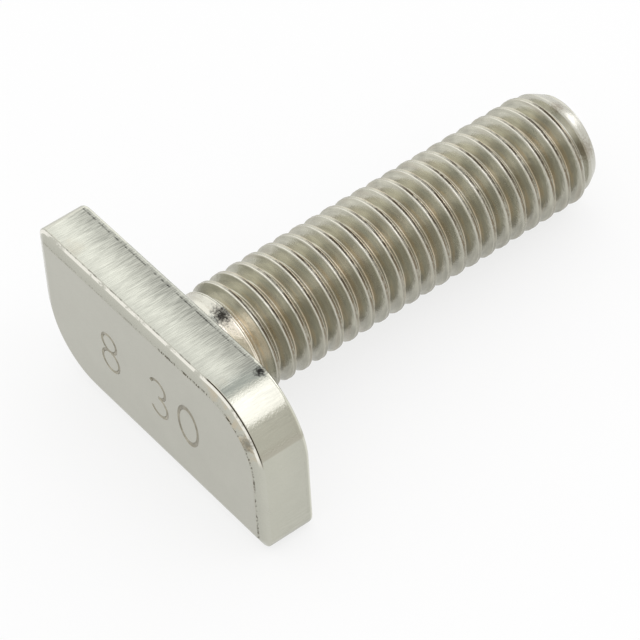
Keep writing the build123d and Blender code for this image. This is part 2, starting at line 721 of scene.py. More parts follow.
@dataclass(frozen=True)
class FormedBevel(SteelFinish):
    """Bevel round the outer face: painted highlight and shade lines at its rim, pits at its foot."""

    rim: float = -3.3
    foot: float = -3.7
    rim_shade: float = 1.03
    foot_shade: float = 0.9
    # Painted highlight: a bright broken line along the bevel's rim.
    rim_highlight_color: Color = rgb(0.86, 0.84, 0.76)
    rim_highlight_band: Band = (-3.375, 0.035, 0.03)
    rim_highlight_noise: Ramp = (0.36, 0.5, 0.0, 1.0)
    # Painted shade: a dark broken line along the edge between bevel and side, heavier near the turning
    # corner.
    rim_shade_line_color: Color = rgb(0.05, 0.04, 0.025)
    rim_shade_line_band: Band = (-3.305, 0.024, 0.012)
    rim_shade_line_corner: Ramp = (11.0, 12.2, 0.0, 1.0)
    rim_shade_line_noise: Ramp = (0.5, 0.62, 0.0, 0.55)
    # Painted reflection: a warm broken band on the bevel near the turning corner that is seen.
    corner_reflection_color: Color = rgb(0.54, 0.47, 0.35)
    corner_reflection_reach: Ramp = (10.6, 12.2, 0.0, 1.0)
    corner_reflection_noise: Ramp = (0.42, 0.62, 0.0, 0.7)
    pit_color: Color = rgb(0.1, 0.085, 0.055)
    pit_size: float = 0.16
    pit_depth: float = 0.02
    pit_band: Band = (-3.68, 0.025, 0.03)
    pit_corner: Ramp = (2.5, 7.0, 0.3, 1.0)
    pit_noise: Ramp = (0.48, 0.58, 0.0, 1.0)
    speck_share: float = 0.6
    patch_scale: float = 0.8
    broken_scale: float = 1.4
    # Where the bevel's painted highlight, shade line and reflection show: along the long side, fading
    # towards the end.
    lines_and_wear: Ramp = (-2.7, -1.8, 1.0, 0.0)
    dent: Scuff = Scuff((9.95, -3.3, -3.55), 0.8)
    dent_share: float = 0.6

    def pits(self, nodes: NodeTree, place: bpy.types.Node, to_corner: object) -> bpy.types.NodeSocket:
        """Marks the pits along the bevel's foot.

        Args:
            nodes: Helper of the material.
            place: The group that reads the place.
            to_corner: How near a point is to the turning corner that is seen.

        Returns:
            The mask of the pits.
        """
        specks = nodes.noise(place.outputs["Place"], 1 / self.pit_size, detail=2.0)
        patches = nodes.noise(place.outputs["Place"], self.patch_scale, detail=1.0)
        patch_part = nodes.product(patches, 1 - self.speck_share)
        gathered = nodes.math("MULTIPLY_ADD", specks, self.speck_share, patch_part)
        return nodes.product(
            nodes.band(place.outputs["Z"], *self.pit_band),
            nodes.ramp(to_corner, *self.pit_corner),
            nodes.ramp(gathered, *self.pit_noise),
        )

    def build(self) -> bpy.types.Material:
        """Builds the bevel's painted lines and reflection by height, heavier near the turning corner that
        is seen.

        Returns:
            The material.
        """
        material, nodes, shader = self.start()
        place = self.place(nodes)
        here = place.outputs["Place"]
        height = place.outputs["Z"]
        mottle = self.mottle(nodes, here)
        to_corner = nodes.math("SUBTRACT", place.outputs["X"], place.outputs["Y"])
        broken = nodes.noise(here, self.broken_scale, detail=5.0, roughness=0.65)
        fade = nodes.ramp(height, self.rim, self.foot, self.rim_shade, self.foot_shade)
        lines_and_wear = nodes.ramp(place.outputs["Y"], *self.lines_and_wear)
        # Painted warm reflection near the turning corner.
        corner_reflection = nodes.product(
            nodes.ramp(to_corner, *self.corner_reflection_reach), lines_and_wear, nodes.ramp(broken, *self.corner_reflection_noise)
        )
        # Painted highlight along the rim.
        rim_highlight = nodes.product(
            nodes.band(height, *self.rim_highlight_band), nodes.ramp(broken, *self.rim_highlight_noise), lines_and_wear
        )
        # Painted dark line along the rim, heavier near the turning corner.
        rim_shade_line_strength = nodes.math(
            "ADD",
            nodes.ramp(to_corner, *self.rim_shade_line_corner),
            nodes.ramp(broken, *self.rim_shade_line_noise),
            clamp=True,
        )
        rim_shade_line = nodes.product(nodes.band(height, *self.rim_shade_line_band), rim_shade_line_strength, lines_and_wear)
        dented = nodes.product(self.scuffed(nodes, here, self.dent), self.dent_share)
        pits = self.pits(nodes, place, to_corner)
        color = nodes.paint(
            self.shaded(nodes, nodes.product(mottle.outputs["Shade"], fade)),
            (corner_reflection, self.corner_reflection_color),
            (rim_highlight, self.rim_highlight_color),
            (rim_shade_line, self.rim_shade_line_color),
            (dented, self.pit_color),
            (pits, self.pit_color),
        )
        ragged = nodes.product(broken, self.relief)
        relief = nodes.math("MULTIPLY_ADD", mottle.outputs["Relief"], self.relief, ragged)
        relief = nodes.math("SUBTRACT", relief, nodes.product(pits, self.pit_depth))
        self.surface(nodes, shader, color, mottle.outputs["Rough"], relief)
        return material


@dataclass(frozen=True)
class ShankPoint:
    """What the rolled finish reads at a point of the shank.

    off is how far the nearest crest's middle is along the axis, side is the direction out from
    the axis, flow and patches are noises drawn out along the thread, and nicks is an even one.
    """

    off: bpy.types.NodeSocket
    side: bpy.types.NodeSocket
    flow: bpy.types.NodeSocket
    patches: bpy.types.NodeSocket
    nicks: bpy.types.NodeSocket


@dataclass(frozen=True)
class RolledFinish(SteelFinish):
    """Shank: grey grooves, crests with painted highlights and painted shade in their fold, a smooth neck,
    a taper.
    """

    neck_color: Color = rgb(0.62, 0.61, 0.535)
    # Painted highlight on one side of the neck.
    neck_highlight_color: Color = rgb(0.94, 0.87, 0.75)
    neck_highlight_by_side: Ramp = (0.78, 0.95, 0.0, 1.0)
    neck_noise: Ramp = (0.46, 0.66, 0.0, 0.25)
    neck_rough: float = -0.04
    neck_nicks: float = 0.03
    scuff: Scuff = Scuff((0.9, -3.6, 1.6), 1.05)
    scuff_by_height: Ramp = (1.8, 2.2, 1.0, 0.0)
    first_crest: float = 2.1
    first_full_crest: float = 2.7
    thread_nicks: float = 0.02
    warm_color: Color = rgb(0.47, 0.41, 0.33)
    warm_noise: Ramp = (0.48, 0.68, 0.0, 0.25)
    flow_depth: float = 0.75
    # Painted light and shade by side: the grooves are lighter towards one side of the shank and darker
    # towards another.
    lit_groove_side: Triple = (-0.31, -0.95, 0.0)
    pale: Ramp = (0.93, 0.985, 1.0, 1.2)
    shaded_groove_side: Triple = (0.875, 0.485, 0.0)
    groove_shade_by_side: Ramp = (0.88, 0.98, 1.0, 0.84)
    # Painted shade at the groove's root, brownish and strongest towards one side.
    root_shade_color: Color = rgb(0.52, 0.4, 0.25)
    root_shade_share: float = 0.6
    root_shade_and_neck_highlight_side: Triple = (0.77, -0.64, 0.0)
    root_shade_by_side: Ramp = (0.5, 0.9, 0.15, 1.0)
    root_band: Band = (-0.56, 0.07, 0.14)
    root_noise: Ramp = (0.4, 0.6, 0.3, 1.0)
    # Painted highlight along each crest's edge nearer the head, strongest towards one side.
    crest_highlight_color: Color = rgb(0.64, 0.62, 0.54)
    unlit_crest_edge_color: Color = rgb(0.46, 0.445, 0.375)
    crest_highlight_by_side: Ramp = (0.3, 0.9, 0.0, 1.0)
    edge_band: Band = (-0.085, 0.045, 0.03)
    edge_noise: Ramp = (0.34, 0.54, 0.3, 1.0)
    # Painted shade in the fold along each crest's middle, darkest towards one side; the fainter colour
    # also marks the taper's scuffs.
    fold_shade_color: Color = rgb(0.07, 0.055, 0.035)
    faint_fold_shade_and_scuff_color: Color = rgb(0.23, 0.19, 0.13)
    fold_side: Triple = (0.26, -0.97, 0.0)
    near_fold_side: Ramp = (0.65, 0.95, 0.12, 1.0)
    fold_band: Band = (0.04, 0.05, 0.03)
    fold_shade_side: Triple = (0.64, -0.77, 0.0)
    fold_shade_mask: Ramp = (0.48, 0.85, 0.05, 1.0)
    fold_shade_noise: Ramp = (0.41, 0.53, 0.25, 1.0)
    fold_breakup_share: float = 0.6
    # Painted highlight: a thin warm line on each crest's edge nearer the free end.
    far_edge_highlight_color: Color = rgb(0.6, 0.53, 0.4)
    far_edge_band: Band = (0.12, 0.02, 0.03)
    far_edge_noise: Ramp = (0.35, 0.55, 0.3, 1.0)
    taper_color: Color = rgb(0.56, 0.55, 0.485)
    taper_noise: Ramp = (0.4, 0.62, 0.0, 0.5)
    taper_from: float = 28.1
    taper_full: float = 28.7
    end_scuffs: tuple[Scuff, ...] = (Scuff((0.4, -3.6, 29.2), 0.75), Scuff((3.15, -1.75, 29.1), 1.3))
    end_scuff_share: float = 0.6
    wound_across: float = 0.6
    wound_along: float = 0.9
    wound_off_crest: Ramp = (29.9, 29.97, 7.0, 0.0)
    patch_scale: float = 0.45
    nick_scale: float = 2.6

    def read(self, nodes: NodeTree, place: bpy.types.Node) -> ShankPoint:
        """Reads the shank's side and the noises that are drawn out along the thread.

        Args:
            nodes: Helper of the material.
            place: The group that reads the place.

        Returns:
            What the finish needs of a point.
        """
        height = place.outputs["Z"]
        off = place.outputs["Off Crest"]
        wound = nodes.add("ShaderNodeCombineXYZ")
        across = nodes.add("ShaderNodeCombineXYZ")
        for name in ("X", "Y"):
            nodes.feed(wound.inputs[name], nodes.product(place.outputs[name], self.wound_across))
            nodes.feed(across.inputs[name], place.outputs[name])
        drawn = nodes.ramp(height, *self.wound_off_crest)
        along = nodes.product(height, self.wound_along)
        nodes.feed(wound.inputs["Z"], nodes.math("MULTIPLY_ADD", off, drawn, along))
        unit = nodes.add("ShaderNodeVectorMath", operation="NORMALIZE")
        nodes.feed(unit.inputs[0], across.outputs[0])
        return ShankPoint(
            off=off,
            side=unit.outputs[0],
            flow=nodes.noise(wound.outputs[0], 1.0, detail=4.0, roughness=0.6),
            patches=nodes.noise(wound.outputs[0], self.patch_scale, detail=1.0),
            nicks=nodes.noise(place.outputs["Place"], self.nick_scale, roughness=0.7),
        )

    def grooves(self, nodes: NodeTree, at: ShankPoint, mottle: object) -> bpy.types.NodeSocket:
        """Colours the grooves: painted light and shade by side, warm in patches, painted shade at the
        root.

        Args:
            nodes: Helper of the material.
            at: What is read at a point of the shank.
            mottle: Shade of the clouds and the grain.

        Returns:
            The colour.
        """
        # Painted light and shade by side of the shank.
        pale = nodes.ramp(nodes.toward(at.side, self.lit_groove_side), *self.pale)
        groove_shade_by_side = nodes.ramp(nodes.toward(at.side, self.shaded_groove_side), *self.groove_shade_by_side)
        root_shade_by_side = nodes.ramp(nodes.toward(at.side, self.root_shade_and_neck_highlight_side), *self.root_shade_by_side)
        flowing = nodes.around(at.flow, self.flow_depth)
        shade = nodes.product(mottle, flowing, nodes.product(pale, groove_shade_by_side))
        # Painted shade at the root of the groove.
        deep = nodes.product(nodes.band(at.off, *self.root_band), nodes.ramp(at.flow, *self.root_noise))
        return nodes.paint(
            self.shaded(nodes, shade),
            (nodes.ramp(at.patches, *self.warm_noise), self.warm_color),
            (nodes.product(deep, root_shade_by_side, self.root_shade_share), self.root_shade_color),
        )

    def crests(self, nodes: NodeTree, at: ShankPoint, grooves: object) -> bpy.types.NodeSocket:
        """Lays the crests over the grooves: painted highlights on both edges and painted shade in the
        fold.

        Args:
            nodes: Helper of the material.
            at: What is read at a point of the shank.
            grooves: Colour of the grooves.

        Returns:
            The colour of the thread.
        """
        to_fold = nodes.toward(at.side, self.fold_side)
        near_fold_side = nodes.ramp(to_fold, *self.near_fold_side)
        # Painted highlight on the crest's edge nearer the head.
        edge = nodes.product(nodes.band(at.off, *self.edge_band), nodes.ramp(at.nicks, *self.edge_noise))
        bright = nodes.ramp(to_fold, *self.crest_highlight_by_side)
        # Painted shade in the crest's fold, broken up by noise and strongest towards one side.
        nick_part = nodes.product(at.nicks, 1 - self.fold_breakup_share)
        fold_breakup = nodes.math("MULTIPLY_ADD", at.flow, self.fold_breakup_share, nick_part)
        by_side = nodes.ramp(nodes.toward(at.side, self.fold_shade_side), *self.fold_shade_mask)
        fold_shade_mask = nodes.product(nodes.ramp(fold_breakup, *self.fold_shade_noise), by_side)
        # Painted highlight on the crest's far edge, strongest towards one side.
        far_noise = nodes.product(nodes.ramp(at.patches, *self.far_edge_noise), near_fold_side)
        return nodes.paint(
            grooves,
            (nodes.product(nodes.band(at.off, *self.far_edge_band), far_noise), self.far_edge_highlight_color),
            (edge, nodes.mix(bright, self.unlit_crest_edge_color, self.crest_highlight_color)),
            (
                nodes.product(nodes.band(at.off, *self.fold_band), fold_shade_mask),
                nodes.mix(near_fold_side, self.faint_fold_shade_and_scuff_color, self.fold_shade_color),
            ),
        )

    def neck(self, nodes: NodeTree, at: ShankPoint) -> bpy.types.NodeSocket:
        """Colours the smooth neck, with a painted highlight on one side.

        Args:
            nodes: Helper of the material.
            at: What is read at a point of the shank.

        Returns:
            The colour.
        """
        # Painted highlight on one side of the neck.
        bright = nodes.ramp(nodes.toward(at.side, self.root_shade_and_neck_highlight_side), *self.neck_highlight_by_side)
        neck = nodes.mix(bright, self.neck_color, self.neck_highlight_color)
        return nodes.mix(nodes.ramp(at.flow, *self.neck_noise), neck, self.warm_color)

    def scuffs(
        self, nodes: NodeTree, place: bpy.types.Node
    ) -> list[tuple[bpy.types.NodeSocket, Color]]:
        """Adds the dark scuff of the neck and the rubbed spots of the taper.

        Args:
            nodes: Helper of the material.
            place: The group that reads the place.

        Returns:
            The mask of each with its colour.
        """
        here = place.outputs["Place"]
        below_flare = nodes.ramp(place.outputs["Z"], *self.scuff_by_height)
        layers = [(nodes.product(self.scuffed(nodes, here, self.scuff), below_flare), self.scuff_color)]
        for scuff in self.end_scuffs:
            lines_and_wear = nodes.product(self.scuffed(nodes, here, scuff), self.end_scuff_share)
            layers.append((lines_and_wear, self.faint_fold_shade_and_scuff_color))
        return layers

    def build(self) -> bpy.types.Material:
        """Builds the finish from the distance to the nearest crest, measured along the axis.

        Returns:
            The material.
        """
        material, nodes, shader = self.start()
        place = self.place(nodes)
        height = place.outputs["Z"]
        mottle = self.mottle(nodes, place.outputs["Place"])
        at = self.read(nodes, place)
        crest_height = nodes.math("SUBTRACT", height, at.off)
        on_thread = nodes.ramp(crest_height, self.first_crest, self.first_full_crest)
        on_taper = nodes.ramp(height, self.taper_from, self.taper_full)
        thread = self.crests(nodes, at, self.grooves(nodes, at, mottle.outputs["Shade"]))
        taper = nodes.mix(nodes.ramp(at.flow, *self.taper_noise), self.taper_color, self.color)
        color = nodes.paint(
            self.neck(nodes, at), (on_thread, thread), (on_taper, taper), *self.scuffs(nodes, place)
        )
        on_neck = nodes.math("SUBTRACT", 1.0, on_thread)
        rough = nodes.math("MULTIPLY_ADD", on_neck, self.neck_rough, mottle.outputs["Rough"])
        more_nicks = self.thread_nicks - self.neck_nicks
        depth = nodes.math("MULTIPLY_ADD", on_thread, more_nicks, self.neck_nicks)
        bumps = nodes.product(at.nicks, depth)
        relief = nodes.math("MULTIPLY_ADD", at.flow, self.relief, bumps)
        self.surface(nodes, shader, color, rough, relief)
        return material


@dataclass
class Head:
    """The upset head, an oblong plate with opposite corners rounded."""

    length: float = 22.6
    width: float = 11.2
    thickness: float = 3.7
    turning_radius: float = 5.0
    stop_radius: float = 1.0
    bevel_inset: float = 0.9
    bevel_drop: float = 0.4
    bearing_edge: float = 0.3
    side_edge: float = 0.07
    face_edge: float = 0.08
    turning_segments: int = 28
    stop_segments: int = 8
    bearing_segments: int = 5
    bevel_segments: int = 3
    wobble: float = 0.02
    wobble_reach: float = 0.12
    slow_scale: float = 0.7
    slow_share: float = 0.7
    quick_scale: float = 3.1
    quick_share: float = 0.5
    quick_offset: Triple = (7.0, 0.0, 0.0)
    face_wobble: float = 1.5
    upright: float = 0.985
    near_face: float = 0.015
    near_bevel: float = 0.02
    near_level: float = 0.01
    level: float = 1e-4
    cuts_along: int = 90
    cuts_across: int = 36

    def corner_edges(self, shape: bmesh.types.BMesh, turning: bool) -> list[bmesh.types.BMEdge]:
        """Finds the upright edges at the two corners of one kind.

        Args:
            shape: The plate.
            turning: Whether the corners are those with the large radius.

        Returns:
            The two edges.
        """
        found = []
        for edge in shape.edges:
            a, b = (v.co for v in edge.verts)
            if abs(a.z - b.z) > self.thickness / 2 and (a.x * a.y < 0) == turning:
                found.append(edge)
        return found

    def loop_at(self, shape: bmesh.types.BMesh, height: float) -> list[bmesh.types.BMEdge]:
        """Finds the edges that lie at one height."""
        return [e for e in shape.edges if all(abs(v.co.z - height) < self.level for v in e.verts)]

    def soften(
        self, shape: bmesh.types.BMesh, edges: list[bmesh.types.BMEdge], width: float, segments: int
    ) -> None:
        """Rounds some edges of the plate.

        Args:
            shape: The plate.
            edges: The edges.
            width: How far the round reaches on both sides.
            segments: Number of faces across it.
        """
        bmesh.ops.bevel(
            shape,
            geom=edges,
            offset=width,
            offset_type="OFFSET",
            affect="EDGES",
            segments=segments,
            profile=0.5,
            material=-1,
        )

    def plate(self) -> bmesh.types.BMesh:
        """Builds the plate with its rounded corners, its bevel and its soft edges.

        Returns:
            The mesh, outer face down.
        """
        shape = bmesh.new()
        made = bmesh.ops.create_cube(shape, size=1.0)
        body = self.thickness - self.bevel_drop
        bmesh.ops.scale(shape, vec=(self.length, self.width, body), verts=made["verts"])
        bmesh.ops.translate(shape, vec=(0, 0, -body / 2), verts=made["verts"])
        for turning, radius, segments in (
            (True, self.turning_radius, self.turning_segments),
            (False, self.stop_radius, self.stop_segments),
        ):
            self.soften(shape, self.corner_edges(shape, turning), radius, segments)
        outer = min(shape.faces, key=lambda f: f.calc_center_median().z)
        bmesh.ops.inset_region(shape, faces=[outer], thickness=self.bevel_inset, use_even_offset=True)
        bmesh.ops.translate(shape, vec=(0, 0, -self.bevel_drop), verts=outer.verts)
        for height, width, segments in (
            (0.0, self.bearing_edge, self.bearing_segments),
            (-body, self.side_edge, self.bevel_segments),
            (-self.thickness, self.face_edge, self.bevel_segments),
        ):
            self.soften(shape, self.loop_at(shape, height), width, segments)
        self.divide(shape)
        return shape

    def divide(self, shape: bmesh.types.BMesh) -> None:
        """Cuts the long and the short runs of every edge loop, so that the edges can waver.

        Args:
            shape: The plate.
        """
        straight_x = []
        straight_y = []
        for edge in shape.edges:
            a, b = (v.co for v in edge.verts)
            run = b - a
            if abs(run.x) > self.length / 2 and abs(run.y) < self.level:
                straight_x.append(edge)
            if abs(run.y) > self.width / 4 and abs(run.x) < self.level:
                straight_y.append(edge)
        for edges, cuts in ((straight_x, self.cuts_along), (straight_y, self.cuts_across)):
            bmesh.ops.subdivide_edges(shape, edges=edges, cuts=cuts, use_grid_fill=True)

    def waver(self, shape: bmesh.types.BMesh) -> None:
        """Moves the points of the bevel's two edges a little, as a die leaves them after long wear.

        Args:
            shape: The plate.
        """
        body = self.thickness - self.bevel_drop
        for vert in shape.verts:
            near_side = 1 - min(abs(vert.co.z + body) / self.wobble_reach, 1.0)
            on_face = vert.co.z < -self.thickness + self.near_level
            if near_side <= 0 and not on_face:
                continue
            slow = noise.noise(vert.co * self.slow_scale)
            quick = noise.noise(vert.co * self.quick_scale + Vector(self.quick_offset))
            amount = (slow * self.slow_share + quick * self.quick_share) * self.wobble
            inwards = Vector((-vert.co.x / self.length, -vert.co.y / self.width, 0)).normalized()
            vert.co += inwards * (amount * self.face_wobble if on_face else abs(amount))

    def build(
        self, pose: Matrix, number: "StruckNumber", materials: list[bpy.types.Material]
    ) -> bpy.types.Object:
        """Builds and places the head.

        Args:
            pose: How the bolt lies in the frame.
            number: The figures struck into the outer face.
            materials: One material for each finish, in order.

        Returns:
            The finished piece.
        """
        shape = self.plate()
        self.waver(shape)
        for face in shape.faces:
            finish = self.finish_of(face)
            face.material_index = finish.value
            face.smooth = finish not in (Finish.OUTER_FACE, Finish.BEARING_FACE)
        bmesh.ops.transform(shape, matrix=pose, verts=shape.verts)
        piece = finished_object("bolt_head", shape)
        for material in materials:
            piece.data.materials.append(material)
        number.strike(piece, pose, self.thickness)
        weighted = piece.modifiers.new("even_shading", "WEIGHTED_NORMAL")
        weighted.keep_sharp = True
        declare(piece)
        LOG.info("head: %d faces", len(piece.data.polygons))
        return piece

    def finish_of(self, face: bmesh.types.BMFace) -> Finish:
        """Tells which finish a face of the plate has, from where it is and how it points.

        Args:
            face: The face.

        Returns:
            Its finish.
        """
        centre = face.calc_center_median()
        if centre.z < -self.thickness + self.near_face:
            return Finish.OUTER_FACE
        if centre.z < -(self.thickness - self.bevel_drop) + self.near_bevel:
            return Finish.BEVEL
        if centre.z > -self.near_level:
            return Finish.BEARING_FACE
        near_side = abs(centre.y) > self.width / 2 - self.bearing_edge
        between_corners = abs(centre.x) < self.length / 2 - self.turning_radius
        if abs(face.normal.y) > self.upright or (near_side and between_corners):
            return Finish.LONG_SIDE
        return Finish.ROUNDED_END


@dataclass(frozen=True)
class Stroke:
    """One round stroke of a figure: an arc, which may be squeezed to an oval."""

    centre: tuple[float, float]
    radius: float
    start: float = 0.0
    sweep: float = 360.0
    squeeze: float = 1.0


@dataclass
class StruckNumber:
    """Plain figures struck into the outer face with a round-nosed punch."""

    strokes: tuple[Stroke, ...] = (
        Stroke(centre=(-4.0, 0.82), radius=0.72),
        Stroke(centre=(-4.0, -0.74), radius=0.84),
        Stroke(centre=(1.0, 0.80), radius=0.74, start=-90.0, sweep=245.0),
        Stroke(centre=(1.0, -0.76), radius=0.82, start=-155.0, sweep=245.0),
        Stroke(centre=(4.0, 0.0), radius=0.95, squeeze=1.62),
    )
    punch_radius: float = 0.135
    punch_segments: int = 12
    degrees_per_step: float = 8.0
    above: float = 0.06

    def punch(self, stroke: Stroke) -> bmesh.types.BMesh:
        """Builds the path of the punch for one stroke as a closed tube.

        Args:
            stroke: The stroke.

        Returns:
            The tube, in a plane of its own with the figures upright.
        """
        shape = bmesh.new()
        closed = abs(stroke.sweep) >= 360.0
        stand = Matrix.Translation((stroke.radius, 0, 0)) @ Matrix.Rotation(math.pi / 2, 4, "X")
        ring = bmesh.ops.create_circle(
            shape,
            cap_ends=False,
            radius=self.punch_radius,
            segments=self.punch_segments,
            matrix=stand,
        )
        edges = list({e for v in ring["verts"] for e in v.link_edges})
        bmesh.ops.spin(
            shape,
            geom=ring["verts"] + edges,
            cent=(0, 0, 0),
            axis=(0, 0, 1),
            dvec=(0, 0, 0),
            angle=math.radians(stroke.sweep),
            space=Matrix.Identity(4),
            steps=max(self.punch_segments, round(abs(stroke.sweep) / self.degrees_per_step)),
            use_merge=closed,
            use_duplicate=False,
        )
        if not closed:
            bmesh.ops.holes_fill(shape, edges=[e for e in shape.edges if e.is_boundary], sides=0)
        turn = Matrix.Rotation(math.radians(stroke.start), 3, "Z")
        bmesh.ops.rotate(shape, cent=(0, 0, 0), matrix=turn, verts=shape.verts)
        for vert in shape.verts:
            vert.co.y *= stroke.squeeze
        bmesh.ops.translate(shape, vec=(stroke.centre[0], stroke.centre[1], 0), verts=shape.verts)
        bmesh.ops.recalc_face_normals(shape, faces=shape.faces)
        return shape

    def strike(self, piece: bpy.types.Object, pose: Matrix, depth_of_face: float) -> None:
        """Cuts every stroke out of the piece.

        Args:
            piece: The head.
            pose: How the bolt lies in the frame.
            depth_of_face: How far under the bearing face the outer face is.
        """
        face_up = Matrix.Rotation(math.pi, 4, "X")
        under = Matrix.Translation((0, 0, -depth_of_face - self.above))
        for index, stroke in enumerate(self.strokes):
            shape = self.punch(stroke)
            bmesh.ops.transform(shape, matrix=pose @ under @ face_up, verts=shape.verts)
            for face in shape.faces:
                face.material_index = Finish.NUMBER.value
                face.smooth = True
            tool = finished_object(f"punch_{index}", shape)
            for slot in piece.data.materials:
                tool.data.materials.append(slot)
            cut = piece.modifiers.new("strike", "BOOLEAN")
            cut.operation = "DIFFERENCE"
            cut.solver = "EXACT"
            cut.object = tool
            cut.material_mode = "INDEX"
            evaluated = piece.evaluated_get(bpy.context.evaluated_depsgraph_get())
            struck = bpy.data.meshes.new_from_object(evaluated)
            piece.modifiers.remove(cut)
            piece.data = struck
            bpy.data.objects.remove(tool)


@dataclass
class Shank:
    """The shank: smooth neck, rolled thread and rolled point."""

    length: float = 30.0
    neck_radius: float = 3.6
    neck_fillet: float = 0.5
    neck_length: float = 1.2
    flare_length: float = 0.8
    worn_depth: float = 0.1
    wear: float = 0.03
    wear_grain: float = 1.9
    groove_from: float = 1.5
    groove_full: float = 2.15
    crest_radius: float = 3.975
    root_radius: float = 3.235
    pitch: float = 1.25
    crest_half: float = 0.17
    seam_depth: float = 0.045
    crest_round: float = 0.04
    lip: float = 0.6
    crest_steps: int = 10
    flank_angle: float = 30.0
    flank_shares: tuple[float, ...] = (1.0, 0.92, 0.7, 0.5, 0.3, 0.06)
    crest_height_at_start: float = 4.544
    turns_below: int = 5
    turns: int = 26
    steps_per_turn: int = 120
    point_length: float = 1.6
    point_radius: float = 3.2
    point_bulge: float = 0.06
    buried: float = 1.0
    weld: float = 0.002
    cut_reach: float = 1e-4

    def crest_drop(self, share: float) -> float:
        """Tells how far the crest's surface lies under its two lips.

        Args:
            share: Place across the crest, -1 to 1.

        Returns:
            The depth: a fold in the middle and a rounding at both sides.
        """
        out = abs(share)
        if out < self.lip:
            return self.seam_depth * (1 + math.cos(math.pi * out / self.lip)) / 2
        return self.crest_round * ((out - self.lip) / (1 - self.lip)) ** 2

    def profile(self, shape: bmesh.types.BMesh) -> None:
        """Draws one pitch of the thread's section at angle 0, root to root.

        Args:
            shape: The empty mesh that takes it.
        """
        top = self.crest_radius - self.crest_round
        fall = top - self.root_radius
        spread = fall * math.tan(math.radians(self.flank_angle))
        corners = [(-self.pitch / 2, self.root_radius)]
        for share in self.flank_shares:
            corners.append((-self.crest_half - share * spread, top - share * fall))
        for step in range(self.crest_steps + 1):
            share = 2 * step / self.crest_steps - 1
            corners.append((share * self.crest_half, self.crest_radius - self.crest_drop(share)))
        for height, radius in corners[len(self.flank_shares) :: -1]:
            corners.append((-height, radius))
        start = self.crest_height_at_start - self.turns_below * self.pitch
        verts = [shape.verts.new((radius, 0, start + height)) for height, radius in corners]
        for pair in zip(verts, verts[1:]):
            shape.edges.new(pair)

    def roll(self, shape: bmesh.types.BMesh) -> None:
        """Winds the section once round the axis and stacks that turn along the shank.

        Args:
            shape: The mesh that holds the section.
        """
        bmesh.ops.spin(
            shape,
            geom=list(shape.verts) + list(shape.edges),
            cent=(0, 0, 0),
            axis=(0, 0, 1),
            dvec=(0, 0, self.pitch / self.steps_per_turn),
            angle=2 * math.pi,
            space=Matrix.Identity(4),
            steps=self.steps_per_turn,
            use_merge=False,
            use_duplicate=False,
        )
        turn = list(shape.verts) + list(shape.edges) + list(shape.faces)
        for index in range(1, self.turns):
            copied = bmesh.ops.duplicate(shape, geom=turn)["geom"]
            moved = [part for part in copied if isinstance(part, bmesh.types.BMVert)]
            bmesh.ops.translate(shape, vec=(0, 0, index * self.pitch), verts=moved)
        bmesh.ops.remove_doubles(shape, verts=shape.verts, dist=self.weld)

    def blank_radius(self, height: float) -> float:
        """Gives the radius of the shank before the thread's groove is rolled into it.

        Args:
            height: Height above the bearing face.

        Returns:
            The radius of the fillet, the neck, the flare or the full shank.
        """
        if height < self.neck_fillet:
            down = self.neck_fillet - max(height, 0.0)
            across = math.sqrt(max(self.neck_fillet**2 - down**2, 0.0))
            return self.neck_radius + self.neck_fillet - across
        flared = min(max((height - self.neck_length) / self.flare_length, 0.0), 1.0)
        return self.neck_radius + flared * (self.crest_radius - self.neck_radius)

    def radius_at(self, place: Vector) -> float:
        """Lets the groove start in the neck and cuts the thread down to the point's taper.

        Args:
            place: A point of the endless thread.

        Returns:
            The radius of the shank there.
        """
        angle = math.atan2(place.y, place.x)
        turns = (place.z - self.crest_height_at_start) / self.pitch - angle / (2 * math.pi)
        middle = place.z - (turns - math.floor(turns) - 0.5) * self.pitch
        rolled = smooth_step(self.groove_from, self.groove_full, middle)
        depth = self.crest_radius - math.hypot(place.x, place.y)
        if depth < self.worn_depth:
            depth += rolled * self.wear * abs(noise.noise(place * self.wear_grain))
        radius = self.blank_radius(place.z) - rolled * depth
        part = (place.z - self.length + self.point_length) / self.point_length
        if part > 0:
            taper = self.crest_radius + part * (self.point_radius - self.crest_radius)
            radius = min(radius, taper + self.point_bulge * 4 * part * (1 - part))
        return radius

    def trim(self, shape: bmesh.types.BMesh) -> None:
        """Cuts the endless thread off inside the head and at the free end, and closes both.

        Args:
            shape: The endless thread.
        """
        for height, outwards in ((-self.buried, -1), (self.length, 1)):
            cut = bmesh.ops.bisect_plane(
                shape,
                geom=list(shape.verts) + list(shape.edges) + list(shape.faces),
                dist=self.cut_reach,
                plane_co=(0, 0, height),
                plane_no=(0, 0, outwards),
                clear_outer=True,
                clear_inner=False,
            )
            rim = [e for e in cut["geom_cut"] if isinstance(e, bmesh.types.BMEdge)]
            bmesh.ops.edgeloop_fill(shape, edges=rim)

    def build(self, pose: Matrix, finish: bpy.types.Material) -> bpy.types.Object:
        """Rolls the thread, shapes both ends and places the shank.

        Args:
            pose: How the bolt lies in the frame.
            finish: The material of the whole shank.

        Returns:
            The finished piece.
        """
        shape = bmesh.new()
        self.profile(shape)
        self.roll(shape)
        self.trim(shape)
        for vert in shape.verts:
            factor = self.radius_at(vert.co) / math.hypot(vert.co.x, vert.co.y)
            vert.co.x *= factor
            vert.co.y *= factor
        bmesh.ops.recalc_face_normals(shape, faces=shape.faces)
        for face in shape.faces:
            face.smooth = len(face.verts) < 5
        bmesh.ops.transform(shape, matrix=pose, verts=shape.verts)
        piece = finished_object("bolt_shank", shape)
        piece.data.materials.append(finish)
        declare(piece)
        LOG.info("shank: %d faces", len(piece.data.polygons))
        return piece


